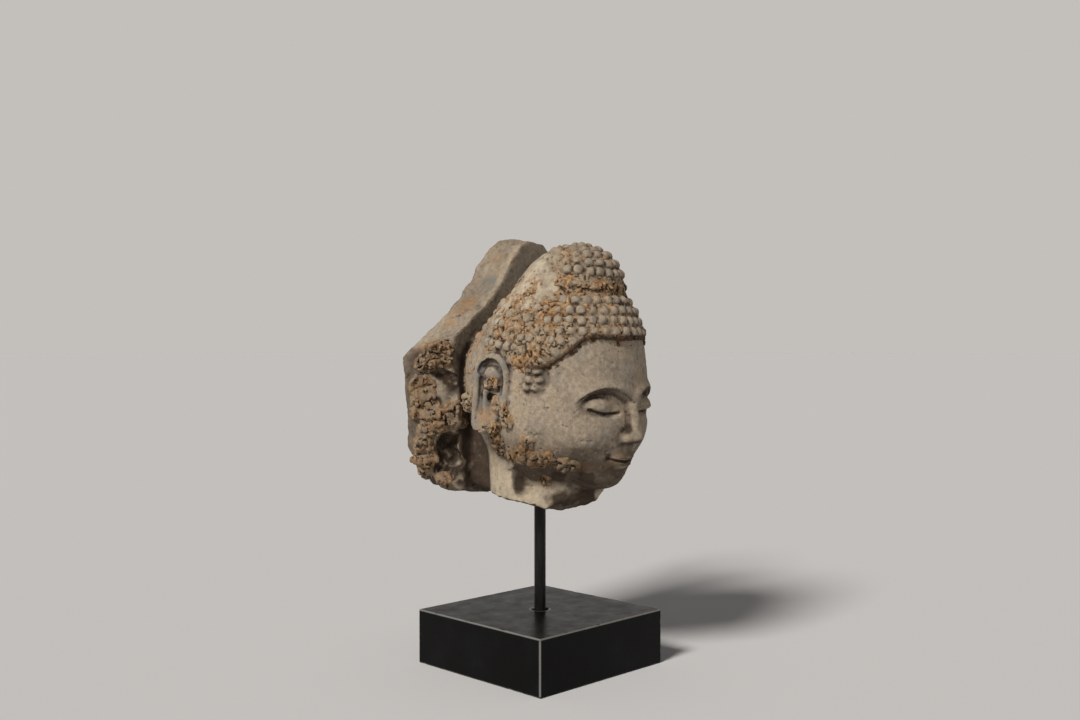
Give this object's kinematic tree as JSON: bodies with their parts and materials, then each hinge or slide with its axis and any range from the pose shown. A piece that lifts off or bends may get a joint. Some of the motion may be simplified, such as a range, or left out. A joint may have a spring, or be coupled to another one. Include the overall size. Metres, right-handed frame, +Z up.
{
  "type": "stone buddha head on stand",
  "caption": "Weathered limestone head of a Buddha with curled hair and a broken piece of its halo slab, on a slim steel rod in a square black stone plinth.",
  "frame": {"origin": "middle of the plinth's underside, which rests on the surface below", "axes": "+Z up along the rod, the face looks along -Y, +X to the statue's left"},
  "size_m": [0.1687, 0.2092, 0.3755],
  "materials": {
    "limestone": "weathered carved limestone with soil crusts",
    "rod_steel": "blackened steel, satin",
    "black_stone": "honed black stone with pale worn arrises"
  },
  "bodies": {
    "root": {"stone_head": "limestone", "mount_rod": "rod_steel", "plinth": "black_stone"}
  },
  "joints": []
}
